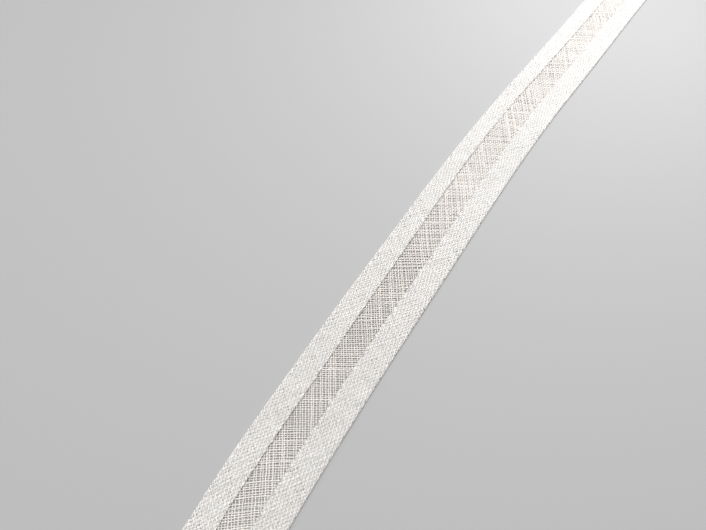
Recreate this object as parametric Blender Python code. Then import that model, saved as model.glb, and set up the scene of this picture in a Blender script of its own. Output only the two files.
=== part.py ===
"""A cut length of single-fold bias tape, lying flat with its two hems folded over on top.

The cloth is one strip, cut on the bias and about 30 mm wide. Each long side is folded in
over the middle, which makes a tape 18 mm wide with a 6 mm band of single cloth between
the raw edges of its hems. The tape bows gently sideways, as bias-cut cloth does.

Units are metres. +Y runs along the tape, +X is to its right and +Z is up. The origin is
the middle of the underside, on the surface that the tape lies on.
"""

from typing import NamedTuple
import math

import bmesh
import bpy

MM = 0.001

# Driving dimensions
LENGTH = 228 * MM
SHEET = 1.0 * MM
LAYER_GAP = 0.3 * MM
FOLD_RADIUS = (SHEET + LAYER_GAP) / 2

# How finely the cloth is divided
STATIONS = 57
HEM_STEPS = 4
FOLD_STEPS = 8
FACE_STEPS = 8

COTTON_WHITE = (0.76, 0.74, 0.71, 1.0)
COTTON_ROUGHNESS = 0.92


class Section(NamedTuple):
    """One cross-section of the tape, all in millimetres.

    along is its place from the tape's middle, and centre how far the tape bows to the
    right there. The hems are as wide as named, and each raw edge lifts off the face by
    its lift.
    """

    along: float
    centre: float
    width: float
    left_hem: float
    right_hem: float
    left_lift: float
    right_lift: float


SECTIONS = (
    Section(-114, centre=1.9, width=18.2, left_hem=5.8, right_hem=6.5, left_lift=0.15, right_lift=0.25),
    Section(-90, centre=-0.2, width=18.3, left_hem=5.9, right_hem=6.5, left_lift=0.25, right_lift=0.10),
    Section(-60, centre=-1.4, width=18.3, left_hem=5.9, right_hem=6.5, left_lift=0.15, right_lift=0.20),
    Section(-30, centre=-2.0, width=18.3, left_hem=5.6, right_hem=6.3, left_lift=0.25, right_lift=0.05),
    Section(0, centre=-2.4, width=18.1, left_hem=5.1, right_hem=6.3, left_lift=0.30, right_lift=0.15),
    Section(20, centre=-2.2, width=17.8, left_hem=4.9, right_hem=6.3, left_lift=0.15, right_lift=0.30),
    Section(35, centre=-1.7, width=17.6, left_hem=5.0, right_hem=6.2, left_lift=0.10, right_lift=0.10),
    Section(50, centre=-0.8, width=17.4, left_hem=5.1, right_hem=6.1, left_lift=0.15, right_lift=0.15),
    Section(70, centre=0.3, width=17.3, left_hem=5.3, right_hem=6.1, left_lift=0.20, right_lift=0.20),
    Section(90, centre=1.3, width=17.2, left_hem=5.4, right_hem=6.0, left_lift=0.15, right_lift=0.10),
    Section(114, centre=2.7, width=17.1, left_hem=5.4, right_hem=6.0, left_lift=0.20, right_lift=0.30),
)


def eased(share):
    """A smooth step from 0 to 1, level at both ends."""
    return share * share * (3 - 2 * share)


def between(first, last):
    """How fast each size changes from one section to another, for each millimetre along."""
    return [(b - a) / (last.along - first.along) for a, b in zip(first, last)]


def section_at(along):
    """The cross-section at a place along the tape, on smooth curves through SECTIONS."""
    millimetres = along / MM
    inner = [i for i, row in enumerate(SECTIONS[:-1]) if row.along <= millimetres]
    low = max(inner, default=0)
    high = low + 1
    first, last = SECTIONS[low], SECTIONS[high]
    gap = last.along - first.along
    share = (millimetres - first.along) / gap
    leaving = between(SECTIONS[max(low - 1, 0)], last)
    arriving = between(first, SECTIONS[min(high + 1, len(SECTIONS) - 1)])
    turned = eased(share)
    pull_out = share * (1 - share) ** 2 * gap
    pull_in = share**2 * (share - 1) * gap
    return Section(
        *(
            a + (b - a) * turned + slope_out * pull_out + slope_in * pull_in
            for a, b, slope_out, slope_in in zip(first, last, leaving, arriving)
        )
    )


def steps_between(start, end, count):
    """count + 1 even values from start to end."""
    return [start + (end - start) * i / count for i in range(count + 1)]


def folded_profile(section):
    """The middle of the sheet across the tape, from the left raw edge to the right one.

    Each point is (sideways, height). The hems lie over the face, and each hem lifts a
    little towards its raw edge.
    """
    half = section.width * MM / 2
    crease = half - FOLD_RADIUS - SHEET / 2
    face_height = SHEET / 2
    axis_height = face_height + FOLD_RADIUS
    hem_height = face_height + 2 * FOLD_RADIUS

    def hem(side, hem_width, lift):
        raw_edge = half - hem_width * MM
        places = steps_between(raw_edge, crease, HEM_STEPS)
        rises = [lift * MM * eased(i / HEM_STEPS) for i in range(HEM_STEPS, -1, -1)]
        return [(side * place, hem_height + rise) for place, rise in zip(places, rises)]

    def fold(side):
        angles = steps_between(math.pi / 2, -math.pi / 2, FOLD_STEPS)[1:-1]
        return [
            (
                side * (crease + FOLD_RADIUS * math.cos(angle)),
                axis_height + FOLD_RADIUS * math.sin(angle),
            )
            for angle in angles
        ]

    face = [(place, face_height) for place in steps_between(-crease, crease, FACE_STEPS)]
    left = hem(-1, section.left_hem, section.left_lift) + fold(-1)
    right = hem(1, section.right_hem, section.right_lift) + fold(1)
    return left + face + right[::-1]


def row_across(along):
    """The folded profile at one place along the tape, square to the line that the tape bows on."""
    section = section_at(along)
    slope = (section_at(along + MM).centre - section_at(along - MM).centre) / 2
    run = math.hypot(1, slope)
    return [
        (section.centre * MM + sideways / run, along - sideways * slope / run, height)
        for sideways, height in folded_profile(section)
    ]


def cotton():
    """Plain white cotton."""
    material = bpy.data.materials.new("white_cotton")
    material.use_nodes = True
    shader = material.node_tree.nodes["Principled BSDF"]
    shader.inputs["Base Color"].default_value = COTTON_WHITE
    shader.inputs["Roughness"].default_value = COTTON_ROUGHNESS
    shader.inputs["Metallic"].default_value = 0.0
    return material


def tape():
    """The folded strip: a grid bent to the tape's folds, then given the cloth's thickness."""
    rows = [row_across(along) for along in steps_between(-LENGTH / 2, LENGTH / 2, STATIONS)]
    cloth = bmesh.new()
    bmesh.ops.create_grid(cloth, x_segments=len(rows[0]) - 1, y_segments=STATIONS, size=1.0)
    cloth.verts.ensure_lookup_table()
    for i, point in enumerate(point for row in rows for point in row):
        cloth.verts[i].co = point

    mesh = bpy.data.meshes.new("tape")
    cloth.to_mesh(mesh)
    cloth.free()
    mesh.shade_smooth()
    mesh.materials.append(cotton())

    part = bpy.data.objects.new("tape", mesh)
    bpy.context.scene.collection.objects.link(part)
    thickness = part.modifiers.new("cloth_thickness", "SOLIDIFY")
    thickness.thickness = SHEET
    thickness.offset = 0.0
    thickness.use_even_offset = True
    return part


def clear_scene():
    """Removes every object that is there at the start."""
    for leftover in list(bpy.data.objects):
        bpy.data.objects.remove(leftover)


def main():
    """Builds the tape in an empty scene."""
    clear_scene()
    tape()


main()
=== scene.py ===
"""The looks of a cut length of single-fold bias tape, woven yarn by yarn.

The cloth is made as the real tape is: two sets of cotton yarns are woven flat, cut on the
bias into one strip, and the strip's long sides are folded in over its middle. Each set of
yarns is one piece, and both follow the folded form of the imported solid.

Lengths are in metres. +Y runs along the tape, +X is to its right and +Z is up.
"""

from dataclasses import dataclass
from enum import Enum
from typing import NamedTuple
import logging
import math

import bmesh
import bpy
import numpy as np
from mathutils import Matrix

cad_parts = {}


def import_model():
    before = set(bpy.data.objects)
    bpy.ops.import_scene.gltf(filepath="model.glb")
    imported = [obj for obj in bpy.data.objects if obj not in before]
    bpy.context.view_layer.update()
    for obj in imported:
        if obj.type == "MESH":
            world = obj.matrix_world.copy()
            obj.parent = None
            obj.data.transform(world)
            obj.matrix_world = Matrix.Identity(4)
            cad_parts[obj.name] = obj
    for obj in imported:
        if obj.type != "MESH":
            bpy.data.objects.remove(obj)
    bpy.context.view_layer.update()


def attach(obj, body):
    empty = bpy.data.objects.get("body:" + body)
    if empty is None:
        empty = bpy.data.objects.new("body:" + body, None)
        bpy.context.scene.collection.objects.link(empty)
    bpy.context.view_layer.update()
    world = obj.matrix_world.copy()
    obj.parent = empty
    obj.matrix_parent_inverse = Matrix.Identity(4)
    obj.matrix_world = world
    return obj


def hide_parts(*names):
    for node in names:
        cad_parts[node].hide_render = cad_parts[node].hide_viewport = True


log = logging.getLogger("bias_tape")

MM = 0.001

# How widely the slowly wandering values of a yarn spread round 0
NOISE_SPREAD = 0.6


class Side(Enum):
    """The tape's two long sides, seen from above with the far end up."""

    LEFT = -1
    RIGHT = 1


class Section(NamedTuple):
    """One cross-section of the tape, in millimetres in the table below.

    along is its place from the tape's middle, and centre how far the tape bows to the
    right there. The hems are as wide as named, and each raw edge lifts off the face by
    its lift.
    """

    along: float
    centre: float
    width: float
    left_hem: float
    right_hem: float
    left_lift: float
    right_lift: float


SECTIONS = (
    Section(-114, centre=1.9, width=18.2, left_hem=5.8, right_hem=6.5, left_lift=0.15, right_lift=0.25),
    Section(-90, centre=-0.2, width=18.3, left_hem=5.9, right_hem=6.5, left_lift=0.25, right_lift=0.10),
    Section(-60, centre=-1.4, width=18.3, left_hem=5.9, right_hem=6.5, left_lift=0.15, right_lift=0.20),
    Section(-30, centre=-2.0, width=18.3, left_hem=5.6, right_hem=6.3, left_lift=0.25, right_lift=0.05),
    Section(0, centre=-2.4, width=18.1, left_hem=5.1, right_hem=6.3, left_lift=0.30, right_lift=0.15),
    Section(20, centre=-2.2, width=17.8, left_hem=4.9, right_hem=6.3, left_lift=0.15, right_lift=0.30),
    Section(35, centre=-1.7, width=17.6, left_hem=5.0, right_hem=6.2, left_lift=0.10, right_lift=0.10),
    Section(50, centre=-0.8, width=17.4, left_hem=5.1, right_hem=6.1, left_lift=0.15, right_lift=0.15),
    Section(70, centre=0.3, width=17.3, left_hem=5.3, right_hem=6.1, left_lift=0.20, right_lift=0.20),
    Section(90, centre=1.3, width=17.2, left_hem=5.4, right_hem=6.0, left_lift=0.15, right_lift=0.10),
    Section(114, centre=2.7, width=17.1, left_hem=5.4, right_hem=6.0, left_lift=0.20, right_lift=0.30),
)


def eased(share: np.ndarray) -> np.ndarray:
    """A smooth step from 0 to 1, level at both ends."""
    held = np.clip(share, 0.0, 1.0)
    return held * held * (3 - 2 * held)


def unit(vectors: np.ndarray) -> np.ndarray:
    """The same directions with a length of 1."""
    return vectors / np.linalg.norm(vectors, axis=-1, keepdims=True)


def uneven(rng: np.random.Generator, count: int, reach: int) -> np.ndarray:
    """Values that wander slowly along a yarn.

    Args:
        rng: Where the chance comes from.
        count: How many values.
        reach: How many neighbours each value is averaged over.

    Returns:
        Values from -1 to 1.
    """
    noise = rng.normal(0, NOISE_SPREAD, count + reach - 1)
    return np.clip(np.convolve(noise, np.ones(reach) / math.sqrt(reach), mode="valid"), -1, 1)


@dataclass(frozen=True)
class SoftWaves:
    """A smooth uneven field: a few long waves that cross at seeded directions.

    shortest and longest say how far each wave may differ from the wavelength.
    """

    seed: int
    wavelength: float
    waves: int = 7
    shortest: float = 0.6
    longest: float = 1.8

    def at(self, x: np.ndarray, y: np.ndarray) -> np.ndarray:
        """The field at each place.

        Args:
            x: Places along one axis, in metres.
            y: Places along the other axis, in metres.

        Returns:
            One value for each place, mostly between -1 and 1.
        """
        rng = np.random.default_rng(self.seed)
        total = np.zeros(np.shape(x))
        for _ in range(self.waves):
            direction = rng.uniform(0, math.tau)
            length = self.wavelength * rng.uniform(self.shortest, self.longest)
            phase = rng.uniform(0, math.tau)
            run = x * math.cos(direction) + y * math.sin(direction)
            total = total + np.sin(math.tau * run / length + phase)
        return total / math.sqrt(self.waves)


@dataclass(frozen=True)
class TapeForm:
    """The folded form of the tape: where each place of the flat cut cloth comes to lie.

    bed is the height of the middle of the face's cloth. A hem settles on the face over the
    length named settle, and the cloth under it is pressed over the width of press_edge.
    """

    length: float = 228 * MM
    bed: float = 0.215 * MM
    cloth: float = 0.22 * MM
    fold_radius: float = 0.20 * MM
    settle: float = 1.2 * MM
    press_edge: float = 1.0 * MM
    ripple: float = 0.04 * MM
    face_unevenness: float = 0.5
    probe: float = 0.02 * MM
    sections: tuple[Section, ...] = SECTIONS
    face_waves: SoftWaves = SoftWaves(seed=3, wavelength=14 * MM)
    hem_waves: SoftWaves = SoftWaves(seed=8, wavelength=5 * MM)

    def sizes_at(self, along: np.ndarray) -> Section:
        """The tape's sizes at places along it, on smooth curves through the sections.

        Args:
            along: Places along the tape from its middle, in metres.

        Returns:
            A Section whose fields are arrays, in metres.
        """
        rows = np.array(self.sections) * MM
        knots = rows[:, 0]
        low = np.clip(np.searchsorted(knots, along, side="right") - 1, 0, len(rows) - 2)
        before, high, after = np.maximum(low - 1, 0), low + 1, np.minimum(low + 2, len(rows) - 1)
        gap = (knots[high] - knots[low])[..., None]
        share = (along - knots[low])[..., None] / gap
        leaving = (rows[high] - rows[before]) / (knots[high] - knots[before])[..., None]
        arriving = (rows[after] - rows[low]) / (knots[after] - knots[low])[..., None]
        values = (
            rows[low]
            + (rows[high] - rows[low]) * eased(share)
            + leaving * share * (1 - share) ** 2 * gap
            + arriving * share**2 * (share - 1) * gap
        )
        return Section(*np.moveaxis(values, -1, 0))

    def crease(self, size: Section) -> np.ndarray:
        """How far from the tape's centre line the cloth begins to turn over."""
        return size.width / 2 - self.fold_radius - self.cloth / 2

    def raw_edge(self, along: np.ndarray, side: Side) -> np.ndarray:
        """How far across the flat cloth, from its middle, a raw edge was cut.

        Args:
            along: Places along the tape, in metres.
            side: Which of the two long sides.

        Returns:
            Distances across the flat cloth, in metres.
        """
        size = self.sizes_at(along)
        hem = size.left_hem if side is Side.LEFT else size.right_hem
        turn_over = math.pi * self.fold_radius
        return self.crease(size) + turn_over + hem - (size.width / 2 - self.crease(size))

    def turned(self, along: np.ndarray, across: np.ndarray) -> np.ndarray:
        """How far round the fold each flat place is, from 0 on the face to pi on a hem."""
        crease = self.crease(self.sizes_at(along))
        return np.clip((np.abs(across) - crease) / self.fold_radius, 0, math.pi)

    def doubled(self, along: np.ndarray, across: np.ndarray) -> np.ndarray:
        """How far each flat place is under or in a hem: 0 on the single band, 1 in the hems.

        Args:
            along: Places along the flat cloth, in metres from its middle.
            across: Places across it, in metres from its middle.

        Returns:
            Shares from 0 to 1, which rise over the first part of the cloth that a hem covers.
        """
        size = self.sizes_at(along)
        hem = np.where(across < 0, size.left_hem, size.right_hem)
        covered = np.abs(across) - (size.width / 2 - hem)
        return eased(covered / self.press_edge)

    def laid(self, along: np.ndarray, across: np.ndarray) -> np.ndarray:
        """Where places of the flat cloth lie once it is folded.

        Args:
            along: Places along the flat cloth, in metres from its middle.
            across: Places across it, in metres from its middle.

        Returns:
            Points of the middle of the cloth, one row of x, y and z each.
        """
        size = self.sizes_at(along)
        side = np.where(across < 0, Side.LEFT.value, Side.RIGHT.value)
        reach = np.abs(across)
        crease = self.crease(size)
        turn = self.turned(along, across)
        over = np.maximum(reach - crease - math.pi * self.fold_radius, 0)
        sideways = side * (np.minimum(reach, crease) + self.fold_radius * np.sin(turn) - over)

        lift = np.where(side < 0, size.left_lift, size.right_lift)
        hem = np.where(side < 0, size.left_hem, size.right_hem)
        loft = 2 * self.fold_radius - self.cloth
        settled = loft * (1 - np.exp(-over / self.settle))
        face_waves = self.face_unevenness * self.face_waves.at(along, sideways)
        hem_waves = self.hem_waves.at(along, sideways)
        height = (
            self.bed
            + self.ripple * (1 + face_waves)
            + self.fold_radius * (1 - np.cos(turn))
            - settled
            + lift * eased(over / hem)
            + self.ripple * (1 + hem_waves) * eased(over / MM)
        )
        return self.bowed(along, sideways, height, size.centre)

    def bowed(
        self, along: np.ndarray, sideways: np.ndarray, height: np.ndarray, centre: np.ndarray
    ) -> np.ndarray:
        """Sets places of the folded tape square to the line that it bows on.

        Args:
            along: Places along the tape.
            sideways: Places to the right of its centre line.
            height: Heights over the floor.
            centre: How far the tape bows to the right at those places.

        Returns:
            Points, one row of x, y and z each.
        """
        slope = (self.sizes_at(along + MM).centre - self.sizes_at(along - MM).centre) / (2 * MM)
        run = np.hypot(1, slope)
        return np.stack((centre + sideways / run, along - sideways * slope / run, height), axis=-1)

    def surface(self, along: np.ndarray, across: np.ndarray) -> tuple[np.ndarray, np.ndarray]:
        """Where the folded cloth's middle lies, and which way its reverse side faces.

        Args:
            along: Places along the flat cloth, in metres from its middle.
            across: Places across it, in metres from its middle.

        Returns:
            Points, and unit vectors square to the cloth at them.
        """
        here = self.laid(along, across)
        ahead = self.laid(along + self.probe, across) - here
        beside = self.laid(along, across + self.probe) - here
        return here, unit(np.cross(beside, ahead))


@dataclass(frozen=True)
class YarnSet:
    """One of the two sets of yarns: how it lies in the cloth and how thick it is spun.

    lean is the angle from the tape's length to the yarns, positive to the right. seed is for
    where the yarns lie, and spin_seed for how each one is spun and cut.
    """

    name: str
    lean: float
    pitch: float
    width: float
    thickness: float
    seed: int
    spin_seed: int

    @property
    def heading(self) -> np.ndarray:
        """The way the yarns run in the flat cloth, as (along, across)."""
        return np.array((math.cos(self.lean), math.sin(self.lean)))


@dataclass
class Rings:
    """The rings that a set of yarns is skinned over, yarn after yarn.

    corners holds the four corners of each ring, in turn round the yarn. travel is how far
    along its yarn a ring is, and tip marks the rings that close a yarn.
    """

    corners: np.ndarray
    pressed: np.ndarray
    travel: np.ndarray
    yarn: np.ndarray
    tip: np.ndarray


@dataclass
class Strand:
    """One yarn of the flat cloth, ring by ring along it.

    run is how far along the yarn each ring is, and stray how far it wanders sideways there.
    height is how far it rides over or dips under the cloth's middle, and size how thick it
    is against the thickness that it is spun to. cut marks the rings of its cut ends.
    """

    number: int
    run: np.ndarray
    stray: np.ndarray
    height: np.ndarray
    size: np.ndarray
    cut: np.ndarray


@dataclass
class Weave:
    """The plain weave: each yarn passes over and under the yarns of the other set in turn.

    Jitter and wander are shares of the pitch between the yarns, and the other shares are of
    a yarn's spun width or thickness. In the hems the yarns are pressed wide and flat, and in
    the far half of the band they close up a little.
    """

    form: TapeForm
    long_set: YarnSet
    cross_set: YarnSet
    place_jitter: float = 0.13
    most_jitter: float = 0.26
    width_jitter: float = 0.18
    thinnest: float = -0.3
    thickest: float = 0.35
    slub: float = 0.20
    slub_reach: int = 7
    wander: float = 0.11
    wander_reach: int = 3
    far_closing: float = 0.35
    closing_from: float = -38 * MM
    closing_over: float = 36 * MM
    pressed_evenness: float = 0.5
    pressed_width: float = 2.3
    pressed_thickness: float = 0.26
    fold_flattening: float = 0.9
    fold_spread: float = 0.20
    half_run: float = 30 * MM
    fine_step: float = 0.04 * MM
    end_clearance: float = 0.25
    least_run: float = 0.5
    tip: float = 0.02 * MM
    end_flare: float = 1.05
    end_reach: float = 0.15 * MM
    fray: float = 0.03 * MM
    drift: float = 0.22 * MM
    drift_waves: tuple[SoftWaves, SoftWaves] = (
        SoftWaves(seed=21, wavelength=30 * MM),
        SoftWaves(seed=22, wavelength=30 * MM),
    )

    @property
    def level(self) -> float:
        """How far a yarn's middle rides over or under the cloth's middle at a crossing."""
        return (self.long_set.thickness + self.cross_set.thickness) / 4

    def other(self, yarns: YarnSet) -> YarnSet:
        """The set that a set of yarns crosses."""
        return self.cross_set if yarns is self.long_set else self.long_set

    def places_of(self, yarns: YarnSet) -> np.ndarray:
        """Where each yarn of a set lies beside the others.

        Args:
            yarns: The set of yarns.

        Returns:
            Places along the other set's direction, in metres.
        """
        count = int(self.form.length / yarns.pitch)
        rng = np.random.default_rng(yarns.seed)
        jitter = rng.normal(0, self.place_jitter, 2 * count + 1)
        jitter = np.clip(jitter, -self.most_jitter, self.most_jitter)
        return (np.arange(-count, count + 1) + jitter) * yarns.pitch

    def in_cloth(self, run: np.ndarray, place: np.ndarray, yarns: YarnSet) -> np.ndarray:
        """Turns a yarn's own places into flat places on the cloth.

        Args:
            run: How far along the yarn, in metres.
            place: Where the yarn lies among its set, in metres.
            yarns: The set it belongs to.

        Returns:
            Rows of (along, across) in metres.
        """
        flat = run[..., None] * yarns.heading + place[..., None] * self.other(yarns).heading
        sway = [wave.at(flat[..., 0], flat[..., 1]) for wave in self.drift_waves]
        return flat + self.drift * np.stack(sway, axis=-1)

    def is_inside(self, flat: np.ndarray) -> np.ndarray:
        """Whether flat places are within the strip as cut.

        Args:
            flat: Rows of (along, across), in metres.

        Returns:
            True or False for each place.
        """
        along, across = flat[..., 0], flat[..., 1]
        return (
            (np.abs(along) <= self.form.length / 2)
            & (across <= self.form.raw_edge(along, Side.RIGHT))
            & (across >= -self.form.raw_edge(along, Side.LEFT))
        )

    def passage(self, place: float, yarns: YarnSet) -> tuple[np.ndarray, np.ndarray]:
        """Where a yarn runs inside the strip, and where it goes round the folds.

        Args:
            place: Where the yarn lies among its set.
            yarns: The set it belongs to.

        Returns:
            Fine steps along the yarn within the strip, and the steps that lie on the
            outermost line of a fold.
        """
        middle = -place * self.other(yarns).heading[1] / yarns.heading[1]
        run = middle + np.arange(-self.half_run, self.half_run, self.fine_step)
        flat = self.in_cloth(run, np.full(run.shape, place), yarns)
        inside = self.is_inside(flat)
        run, flat = run[inside], flat[inside]
        past = self.form.turned(flat[:, 0], flat[:, 1]) > math.pi / 2
        return run, run[1:][past[1:] != past[:-1]]

    def strand(
        self,
        number: int,
        ends: tuple[float, float],
        folds: np.ndarray,
        yarns: YarnSet,
        rng: np.random.Generator,
    ) -> Strand:
        """One yarn, with a ring at each crossing and fold and a pinched tip at each end.

        Args:
            number: The yarn's number in its set.
            ends: Where the yarn is cut.
            folds: Where it goes round the folds.
            yarns: The set it belongs to.
            rng: Where the chance comes from.

        Returns:
            The yarn in the flat cloth.
        """
        start, end = ends
        crossings = self.places_of(self.other(yarns))
        clear = self.end_clearance * self.other(yarns).pitch
        inner = np.flatnonzero((crossings > start + clear) & (crossings < end - clear))
        above = self.level if yarns is self.long_set else -self.level
        crossed = above * np.where((inner + number) % 2 == 0, 1.0, -1.0)
        tips = (start - self.tip, start, end, end + self.tip)
        run = np.concatenate((crossings[inner], folds, tips))
        height = np.concatenate((crossed, np.zeros(len(folds) + len(tips))))
        order = np.argsort(run)
        spun = 1 + np.clip(rng.normal(0, self.width_jitter), self.thinnest, self.thickest)
        size = spun * (1 + self.slub * uneven(rng, len(run), self.slub_reach))
        size[[1, -2]] *= self.end_flare
        size[[0, -1]] = 0.0
        cut = np.zeros(len(run), dtype=bool)
        cut[[0, 1, -2, -1]] = True
        stray = self.wander * yarns.pitch * uneven(rng, len(run), self.wander_reach)
        return Strand(number, run[order], stray, height[order], size, cut)

    def strands_of(self, yarns: YarnSet) -> list[Strand]:
        """Every yarn of a set that crosses the strip.

        Args:
            yarns: The set of yarns.

        Returns:
            Its yarns, from one end of the strip to the other.
        """
        rng = np.random.default_rng(yarns.spin_seed)
        least = self.least_run * self.other(yarns).pitch
        strands = []
        for number, place in enumerate(self.places_of(yarns)):
            inside, folds = self.passage(place, yarns)
            if len(inside) and inside[-1] - inside[0] > least:
                loose = rng.uniform(0, self.fray, 2)
                ends = (inside[0] - loose[0], inside[-1] + loose[1])
                strands.append(self.strand(number, ends, folds, yarns, rng))
        return strands

    def sideways(self, along: np.ndarray, cut: np.ndarray, yarns: YarnSet) -> np.ndarray:
        """Which way each ring spreads in the flat cloth: square to its yarn, or along a cut.

        Args:
            along: Places of the rings along the cloth.
            cut: Which rings are at a cut end.
            yarns: The set they belong to.

        Returns:
            Rows of (along, across), long enough that a slanting cut keeps the yarn's width.
        """
        square = np.array((yarns.heading[1], -yarns.heading[0]))
        long_cut = np.array((1 / square[0], 0.0))
        end_cut = np.array((0.0, 1 / square[1]))
        at_end = (np.abs(along) > self.form.length / 2 - self.end_reach)[:, None]
        return np.where(cut[:, None], np.where(at_end, end_cut, long_cut), square)

    def corners(
        self, flat: np.ndarray, reach: np.ndarray, height: np.ndarray, thick: np.ndarray
    ) -> np.ndarray:
        """Wraps flat rings round the folded cloth.

        Args:
            flat: Where the rings lie in the flat cloth, as (along, across).
            reach: How far each ring spreads to one side there, as (along, across).
            height: How far each ring rides over the cloth's middle.
            thick: Half of each ring's thickness.

        Returns:
            Four points for each ring, in turn round the yarn.
        """
        top, foot = (height + thick)[:, None], (height - thick)[:, None]
        edges = []
        for place in (flat + reach, flat - reach):
            middle, facing = self.form.surface(place[:, 0], place[:, 1])
            edges.append((middle + facing * top, middle + facing * foot))
        (right_top, right_foot), (left_top, left_foot) = edges
        return np.stack((right_top, left_top, left_foot, right_foot), axis=1)

    def spread(self, along: np.ndarray, pressed: np.ndarray, bent: np.ndarray) -> np.ndarray:
        """How wide the yarns lie against the width that they are spun to.

        Args:
            along: Places along the cloth.
            pressed: How far each place is under or in a hem.
            bent: How sharply the cloth turns there, 1 on the outermost line of a fold.

        Returns:
            One share for each place.
        """
        wider = 1 + (self.pressed_width - 1) * pressed + self.fold_spread * bent
        closed = eased((along - self.closing_from) / self.closing_over)
        return wider * (1 + self.far_closing * closed * (1 - pressed))

    def rings_of(self, yarns: YarnSet) -> Rings:
        """Lays a set of yarns along the folded tape.

        Args:
            yarns: The set of yarns.

        Returns:
            The rings of all its yarns, one yarn after another.
        """
        strands = self.strands_of(yarns)
        run, stray, height, size, cut = (
            np.concatenate([getattr(strand, name) for strand in strands])
            for name in ("run", "stray", "height", "size", "cut")
        )
        yarn = np.repeat(np.arange(len(strands)), [len(strand.run) for strand in strands])
        place = self.places_of(yarns)[[strand.number for strand in strands]][yarn]
        flat = self.in_cloth(run, place + stray, yarns)
        along, across = flat[:, 0], flat[:, 1]
        pressed = self.form.doubled(along, across)
        bent = np.sin(self.form.turned(along, across))
        thinner = 1 + (self.pressed_thickness - 1) * pressed
        flatter = 1 - self.fold_flattening * bent
        even = np.where(size > 0, 1 + (size - 1) * (1 - self.pressed_evenness * pressed), 0)
        half_width = even * self.spread(along, pressed, bent) * yarns.width / 2
        half_thickness = even * thinner * yarns.thickness / 2
        reach = self.sideways(along, cut, yarns) * half_width[:, None]
        return Rings(
            corners=self.corners(flat, reach, height * thinner * flatter, half_thickness),
            pressed=pressed,
            travel=run,
            yarn=yarn,
            tip=size == 0,
        )


@dataclass
class YarnMesh:
    """Skins the rings of a set of yarns and gives the mesh its maps.

    The sheet map lays the yarns side by side in columns, with a margin at each end.
    """

    name: str
    rings: Rings
    seed: int
    sides: int = 4
    columns: int = 2
    margin: float = 0.01
    most_tone: float = 2.0

    @property
    def corner_count(self) -> int:
        """How many points each ring of the grid has, the repeated one included."""
        return self.sides + 1

    def wound(self) -> np.ndarray:
        """The points of every ring, with the first one repeated to close the way round."""
        corners = self.rings.corners
        return np.concatenate((corners, corners[:, :1]), axis=1).reshape(-1, 3)

    def map_places(self) -> tuple[np.ndarray, np.ndarray]:
        """Where each point falls on the two maps.

        Returns:
            Places (round, along) the yarn in turns and millimetres, and spots on a shared
            sheet that holds the yarns side by side.
        """
        rings = self.rings
        around = np.tile(np.arange(self.corner_count) / self.sides, len(rings.yarn))
        travel = np.repeat(rings.travel, self.corner_count)
        yarn = np.repeat(rings.yarn, self.corner_count)
        rows = math.ceil((rings.yarn.max() + 1) / self.columns)
        first = np.full(rings.yarn.max() + 1, np.inf)
        np.minimum.at(first, rings.yarn, rings.travel)
        longest = (rings.travel - first[rings.yarn]).max()
        share = self.margin + (1 - 2 * self.margin) * (travel - first[yarn]) / longest
        spot = np.stack(((yarn // rows + share) / self.columns, (yarn % rows + around) / rows), axis=-1)
        return np.stack((around, travel / MM), axis=-1), spot

    def place_points(self, skin: bmesh.types.BMesh) -> None:
        """Winds a flat grid over the rings, and notes each yarn's tone and how it is pressed.

        Args:
            skin: The grid, one row of points for each ring.
        """
        yarn = self.rings.yarn
        draws = np.random.default_rng(self.seed).normal(0, 1, yarn.max() + 1)
        tones = np.clip(draws, -self.most_tone, self.most_tone)
        shades = np.repeat(tones[yarn], self.corner_count)
        shares = np.repeat(self.rings.pressed, self.corner_count)
        tone, pressed = (skin.verts.layers.float.new(name) for name in ("tone", "pressed"))
        for vert, point, shade, share in zip(skin.verts, self.wound().tolist(), shades, shares):
            vert.co = point
            vert[tone] = shade
            vert[pressed] = share

    def map_faces(self, skin: bmesh.types.BMesh) -> list[bmesh.types.BMFace]:
        """Fills the two maps.

        Args:
            skin: The wound grid.

        Returns:
            The faces that run from the end of one yarn to the start of the next.
        """
        twist, sheet = skin.loops.layers.uv.new("yarn"), skin.loops.layers.uv.new("OFBake")
        own, spot = (places.tolist() for places in self.map_places())
        between = []
        for face in skin.faces:
            rows = {vert.index // self.corner_count for vert in face.verts}
            if self.rings.yarn[min(rows)] != self.rings.yarn[max(rows)]:
                between.append(face)
            for loop in face.loops:
                loop[twist].uv = own[loop.vert.index]
                loop[sheet].uv = spot[loop.vert.index]
        return between

    def close(self, skin: bmesh.types.BMesh, between: list[bmesh.types.BMFace]) -> None:
        """Snips the grid between the yarns, closes each yarn round and pinches its tips.

        Args:
            skin: The wound grid.
            between: The faces between one yarn and the next.
        """
        skin.verts.ensure_lookup_table()
        joined = {}
        for ring, is_tip in enumerate(self.rings.tip.tolist()):
            first = skin.verts[ring * self.corner_count]
            for corner in range(1 if is_tip else self.sides, self.corner_count):
                joined[skin.verts[ring * self.corner_count + corner]] = first
        bmesh.ops.delete(skin, geom=between, context="FACES")
        bmesh.ops.weld_verts(skin, targetmap=joined)

    def build(self) -> bpy.types.Object:
        """Makes the piece.

        Returns:
            The new object, at the origin, with its place in its mesh.
        """
        skin = bmesh.new()
        last_ring = len(self.rings.yarn) - 1
        bmesh.ops.create_grid(skin, x_segments=self.sides, y_segments=last_ring, size=1.0)
        self.place_points(skin)
        self.close(skin, self.map_faces(skin))
        mesh = bpy.data.meshes.new(self.name)
        skin.to_mesh(mesh)
        skin.free()
        mesh.shade_smooth()
        piece = bpy.data.objects.new(self.name, mesh)
        bpy.context.scene.collection.objects.link(piece)
        level_tops = piece.modifiers.new("level_tops", "WEIGHTED_NORMAL")
        level_tops.mode = "FACE_AREA"
        return piece


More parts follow.
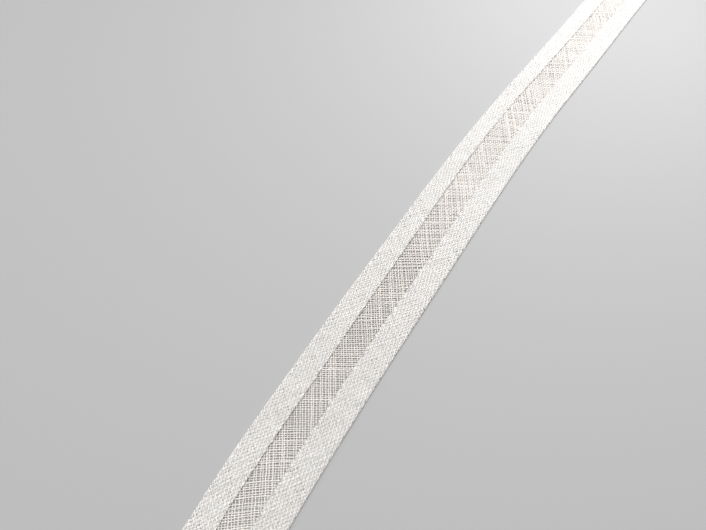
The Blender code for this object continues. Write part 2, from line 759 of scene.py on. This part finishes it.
@dataclass
class NodeBench:
    """A shader node tree, with short ways to add nodes to it."""

    tree: bpy.types.NodeTree
    noise_roughness: float = 0.6

    def plug(self, socket: bpy.types.NodeSocket, value: object) -> None:
        """Sets an input to a number or colour, or links it when the value is an output.

        Args:
            socket: The input.
            value: A number, a colour or an output socket.
        """
        if isinstance(value, bpy.types.NodeSocket):
            self.tree.links.new(value, socket)
        else:
            socket.default_value = value

    def add(self, kind: str, inputs: dict[str, object], **settings: object) -> bpy.types.Node:
        """Adds one node.

        Args:
            kind: The node's type name, after "ShaderNode".
            inputs: A value or an output socket for each input's name.
            **settings: The node's own options.

        Returns:
            The new node.
        """
        node = self.tree.nodes.new(f"ShaderNode{kind}")
        for option, choice in settings.items():
            setattr(node, option, choice)
        for name, value in inputs.items():
            self.plug(node.inputs[name], value)
        return node

    def math(self, operation: str, *values: object) -> bpy.types.NodeSocket:
        """Adds a Math node.

        Args:
            operation: What it works out.
            *values: A number or an output socket for each input in turn.

        Returns:
            The node's result.
        """
        node = self.tree.nodes.new("ShaderNodeMath")
        node.operation = operation
        for socket, value in zip(node.inputs, values):
            self.plug(socket, value)
        return node.outputs["Value"]

    def noise(self, place: bpy.types.NodeSocket, scale: float, detail: float) -> bpy.types.NodeSocket:
        """Adds a Noise texture.

        Args:
            place: The places that it is read at.
            scale: How fine it is.
            detail: How many finer layers it has.

        Returns:
            Its value, around 0.5.
        """
        wanted = {"Vector": place, "Scale": scale, "Detail": detail, "Roughness": self.noise_roughness}
        return self.add("TexNoise", wanted).outputs["Fac"]

    def mixed(self, share: object, first: object, second: object) -> bpy.types.NodeSocket:
        """Adds a colour Mix node.

        Args:
            share: How much of the second colour shows.
            first: The first colour.
            second: The second colour.

        Returns:
            The mixed colour.
        """
        node = self.tree.nodes.new("ShaderNodeMix")
        node.data_type = "RGBA"
        for name, value in (("Factor_Float", share), ("A_Color", first), ("B_Color", second)):
            self.plug(next(s for s in node.inputs if s.identifier == name), value)
        return next(s for s in node.outputs if s.identifier == "Result_Color")


@dataclass(frozen=True)
class SpunYarn:
    """The look of spun cotton, as a node group that every yarn finish shares.

    The scales are in waves for each millimetre. Each polish or relief is how far the fuzz or
    the strands change the roughness or the height.
    """

    NAME = "spun_yarn"
    COLOURS = ("Fibre Colour", "Shade Colour")
    VECTORS = ("Yarn Place", "Cloth Place")
    VALUES = ("Tone", "Pressed", "Thin Shade", "Strands", "Turns per mm", "Tone Spread", "Mottle")

    fuzz_scale: float = 7.0
    fuzz_detail: float = 4.0
    mottle_scale: float = 0.16
    mottle_detail: float = 2.0
    wander_scale: float = 2.2
    wander_detail: float = 1.0
    wander: float = 1.6
    # strand_relief also sets how much painted shade the strands' dips get in the colour.
    strand_relief: float = 0.28
    roughest: float = 0.98
    fuzz_polish: float = 0.25

    def group(self) -> bpy.types.ShaderNodeTree:
        """The node group, built the first time that it is asked for.

        Returns:
            A group that puts out the yarn's colour, roughness and height.
        """
        if self.NAME in bpy.data.node_groups:
            return bpy.data.node_groups[self.NAME]
        tree = bpy.data.node_groups.new(self.NAME, "ShaderNodeTree")
        for names, kind in ((self.COLOURS, "Color"), (self.VECTORS, "Vector"), (self.VALUES, "Float")):
            for name in names:
                tree.interface.new_socket(name, in_out="INPUT", socket_type=f"NodeSocket{kind}")
        for name, kind in (("Colour", "Color"), ("Roughness", "Float"), ("Height", "Float")):
            tree.interface.new_socket(name, in_out="OUTPUT", socket_type=f"NodeSocket{kind}")
        self.fill(NodeBench(tree))
        return tree

    def fill(self, bench: NodeBench) -> None:
        """Lays out the group: fibres that wind round the yarn with painted shade in their dips, fuzz, a
        tone for each yarn, and painted shade over the single-layer band.

        Args:
            bench: The group's empty node tree.
        """
        given = bench.tree.nodes.new("NodeGroupInput").outputs
        taken = bench.tree.nodes.new("NodeGroupOutput").inputs
        place = bench.add("SeparateXYZ", {"Vector": given["Yarn Place"]}).outputs
        in_millimetres = bench.add(
            "VectorMath", {"Vector": given["Cloth Place"], "Scale": 1 / MM}, operation="SCALE"
        ).outputs["Vector"]
        fuzz = bench.noise(in_millimetres, self.fuzz_scale, self.fuzz_detail)
        mottle = bench.noise(in_millimetres, self.mottle_scale, self.mottle_detail)
        stray = bench.noise(in_millimetres, self.wander_scale, self.wander_detail)
        turned = bench.math("MULTIPLY_ADD", place["Y"], given["Turns per mm"], place["X"])
        wander = bench.math("MULTIPLY", stray, self.wander)
        winding = bench.math("MULTIPLY_ADD", turned, given["Strands"], wander)
        strand = bench.math("SINE", bench.math("MULTIPLY", winding, math.tau))
        raised = bench.math("MULTIPLY_ADD", strand, self.strand_relief, fuzz)
        held = bench.math("MINIMUM", bench.math("MAXIMUM", raised, 0.0), 1.0)
        # Painted shade in the dips between the winding strands, where the height is low, mixed with
        # random fuzz tone.
        colour = bench.mixed(held, given["Shade Colour"], given["Fibre Colour"])
        tone = bench.math("MULTIPLY_ADD", given["Tone"], given["Tone Spread"], 1.0)
        blotch = bench.math("MULTIPLY", bench.math("SUBTRACT", mottle, 0.5), given["Mottle"])
        lit = bench.math("ADD", tone, blotch)
        # Painted shade: the single-layer band, where no hem lies behind, is darkened by the band's
        # painted shade, which stands in for the shade seen through its open weave.
        bare = bench.math("SUBTRACT", 1.0, given["Pressed"])
        thin = bench.math("MULTIPLY_ADD", bare, given["Thin Shade"], 1.0)
        bright = bench.math("MULTIPLY", lit, thin)
        shaded = bench.add(
            "VectorMath", {"Vector": colour, "Scale": bright}, operation="SCALE"
        ).outputs["Vector"]
        bench.plug(taken["Colour"], shaded)
        roughness = bench.math("MULTIPLY_ADD", fuzz, -self.fuzz_polish, self.roughest)
        bench.plug(taken["Roughness"], roughness)
        bench.plug(taken["Height"], raised)


@dataclass(frozen=True)
class CottonFinish:
    """White cotton yarn: matt, softly fuzzy, and thin enough that some light passes through."""

    name: str
    fibre: tuple[float, float, float, float] = (0.88, 0.837, 0.793, 1.0)
    # The colour of the dips between strands: painted groove shade, mixed with random fuzz tone.
    shade: tuple[float, float, float, float] = (0.79, 0.747, 0.702, 1.0)
    strands: float = 5.0
    turns_per_mm: float = 0.9
    tone_spread: float = 0.035
    # Painted shade over the single-layer band, as a share of its brightness.
    band_painted_shade: float = -0.07
    mottle: float = 0.10
    fibre_depth: float = 0.02 * MM
    relief: float = 0.5
    specular: float = 0.2
    scatter: float = 1.0
    glow: float = 0.12 * MM
    glow_reach: tuple[float, float, float] = (1.0, 1.0, 1.0)
    sheen: float = 0.5
    sheen_roughness: float = 0.7

    def material(self) -> bpy.types.Material:
        """Builds the material.

        Returns:
            A material that reads the piece's yarn map and its tone attribute.
        """
        material = bpy.data.materials.new(self.name)
        material.use_nodes = True
        bench = NodeBench(material.node_tree)
        yarn_place = bench.add("UVMap", {}, uv_map="yarn").outputs["UV"]
        cloth_place = bench.add("TexCoord", {}).outputs["Object"]
        tone = bench.add("Attribute", {}, attribute_name="tone").outputs["Fac"]
        # pressed is 1 in the hems; the yarn group gives the rest, the single-layer band, painted shade.
        pressed = bench.add("Attribute", {}, attribute_name="pressed").outputs["Fac"]
        spun = bench.add("Group", {}, node_tree=SpunYarn().group())
        wanted = {
            "Fibre Colour": self.fibre,
            "Shade Colour": self.shade,
            "Yarn Place": yarn_place,
            "Cloth Place": cloth_place,
            "Tone": tone,
            "Pressed": pressed,
            "Thin Shade": self.band_painted_shade,
            "Strands": self.strands,
            "Turns per mm": self.turns_per_mm,
            "Tone Spread": self.tone_spread,
            "Mottle": self.mottle,
        }
        for name, value in wanted.items():
            bench.plug(spun.inputs[name], value)
        bump = bench.add(
            "Bump",
            {"Strength": self.relief, "Distance": self.fibre_depth, "Height": spun.outputs["Height"]},
        )
        finish = {
            "Base Color": spun.outputs["Colour"],
            "Roughness": spun.outputs["Roughness"],
            "Normal": bump.outputs["Normal"],
            "Specular IOR Level": self.specular,
            "Subsurface Weight": self.scatter,
            "Subsurface Scale": self.glow,
            "Subsurface Radius": self.glow_reach,
            "Sheen Weight": self.sheen,
            "Sheen Roughness": self.sheen_roughness,
        }
        shader = material.node_tree.nodes["Principled BSDF"]
        for name, value in finish.items():
            bench.plug(shader.inputs[name], value)
        return material


@dataclass(frozen=True)
class SoftLight:
    """A soft square light that points at the tape's middle."""

    name: str
    place: tuple[float, float, float]
    size: float
    power: float

    def build(self) -> None:
        """Adds the light, unseen by the camera."""
        data = bpy.data.lights.new(self.name, "AREA")
        data.shape = "SQUARE"
        data.size = self.size
        data.energy = self.power
        lamp = bpy.data.objects.new(self.name, data)
        lamp.visible_camera = False
        lamp.location = self.place
        aim = -np.array(self.place)
        fall = math.acos(-aim[2] / np.linalg.norm(aim))
        lamp.rotation_euler = (fall, 0.0, math.atan2(aim[1], aim[0]) - math.pi / 2)
        bpy.context.scene.collection.objects.link(lamp)


@dataclass
class Studio:
    """The pale floor, the soft lights and the camera at the photo's place."""

    frame_width: int = 706
    focal_pixels: float = 400.0
    sensor: float = 36.0
    azimuth: float = math.radians(35.8)
    elevation: float = math.radians(66.3)
    eye: tuple[float, float, float] = (10.0 * MM, -73.8 * MM, 93.2 * MM)
    nearest_seen: float = 5 * MM
    floor_reach: float = 8.0
    floor_colour: tuple[float, float, float, float] = (0.44, 0.44, 0.445, 1.0)
    floor_roughness: float = 0.8
    sun_rise: float = math.radians(58)
    sun_turn: float = math.radians(8)
    sun_size: float = math.radians(22)
    sun_strength: float = 2.05
    overhead: float = 0.16
    horizon: float = 0.45
    horizon_falloff: float = 3.0
    surround: tuple[float, float, float, float] = (1.0, 1.0, 1.0, 1.0)
    lights: tuple[SoftLight, ...] = (
        SoftLight("far", place=(0.00, 0.12, 0.12), size=0.12, power=0.16),
        SoftLight("near", place=(-0.22, -0.08, 0.42), size=0.40, power=0.86),
    )

    def floor(self) -> None:
        """The surface that the tape lies on."""
        ground = bmesh.new()
        bmesh.ops.create_grid(ground, x_segments=1, y_segments=1, size=self.floor_reach)
        mesh = bpy.data.meshes.new("floor")
        ground.to_mesh(mesh)
        ground.free()
        piece = bpy.data.objects.new("floor", mesh)
        bpy.context.scene.collection.objects.link(piece)
        material = bpy.data.materials.new("pale_floor")
        material.use_nodes = True
        shader = material.node_tree.nodes["Principled BSDF"]
        shader.inputs["Base Color"].default_value = self.floor_colour
        shader.inputs["Roughness"].default_value = self.floor_roughness
        mesh.materials.append(material)

    def sun(self) -> None:
        """The main light: broad, soft and even, from beyond the tape's far end."""
        data = bpy.data.lights.new("main", "SUN")
        data.angle = self.sun_size
        data.energy = self.sun_strength
        lamp = bpy.data.objects.new("main", data)
        lamp.rotation_euler = (self.sun_rise - math.pi / 2, 0.0, self.sun_turn)
        bpy.context.scene.collection.objects.link(lamp)

    def world(self) -> None:
        """A pale surround, lighter towards the horizon."""
        world = bpy.data.worlds.new("studio")
        world.use_nodes = True
        bench = NodeBench(world.node_tree)
        direction = bench.add("TexCoord", {}).outputs["Generated"]
        height = bench.add("SeparateXYZ", {"Vector": direction}).outputs["Z"]
        lowness = bench.math("SUBTRACT", 1.0, bench.math("MAXIMUM", height, 0.0))
        low = bench.math("POWER", lowness, self.horizon_falloff)
        strength = bench.math("MULTIPLY_ADD", low, self.horizon, self.overhead)
        background = world.node_tree.nodes["Background"]
        background.inputs["Color"].default_value = self.surround
        bench.plug(background.inputs["Strength"], strength)
        bpy.context.scene.world = world

    def camera(self) -> None:
        """The camera, where the photo was taken from."""
        data = bpy.data.cameras.new("camera")
        data.sensor_width = self.sensor
        data.lens = self.focal_pixels / self.frame_width * self.sensor
        data.clip_start = self.nearest_seen
        camera = bpy.data.objects.new("camera", data)
        camera.location = self.eye
        camera.rotation_euler = (math.pi / 2 - self.elevation, 0.0, self.azimuth)
        bpy.context.scene.collection.objects.link(camera)
        bpy.context.scene.camera = camera

    def build(self) -> None:
        """Sets up everything round the tape."""
        self.floor()
        self.world()
        self.sun()
        for light in self.lights:
            light.build()
        self.camera()
        bpy.context.scene.view_settings.view_transform = "Standard"


def main() -> None:
    """Builds the tape and the studio, piece by piece."""
    logging.basicConfig(level=logging.INFO, format="%(name)s: %(message)s")
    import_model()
    form = TapeForm()
    weave = Weave(
        form=form,
        long_set=YarnSet(
            "fine",
            lean=math.radians(55),
            pitch=0.47 * MM,
            width=0.19 * MM,
            thickness=0.18 * MM,
            seed=5,
            spin_seed=105,
        ),
        cross_set=YarnSet(
            "coarse",
            lean=math.radians(-35),
            pitch=0.62 * MM,
            width=0.23 * MM,
            thickness=0.17 * MM,
            seed=6,
            spin_seed=106,
        ),
    )
    for yarns in (weave.long_set, weave.cross_set):
        piece = YarnMesh(f"{yarns.name}_yarns", weave.rings_of(yarns), yarns.seed).build()
        piece.data.materials.append(CottonFinish(f"{yarns.name}_cotton").material())
        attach(piece, "root")
        log.info("%s: %d faces", piece.name, len(piece.data.polygons))
    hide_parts("tape")
    Studio().build()


if __name__ == "__main__":
    main()
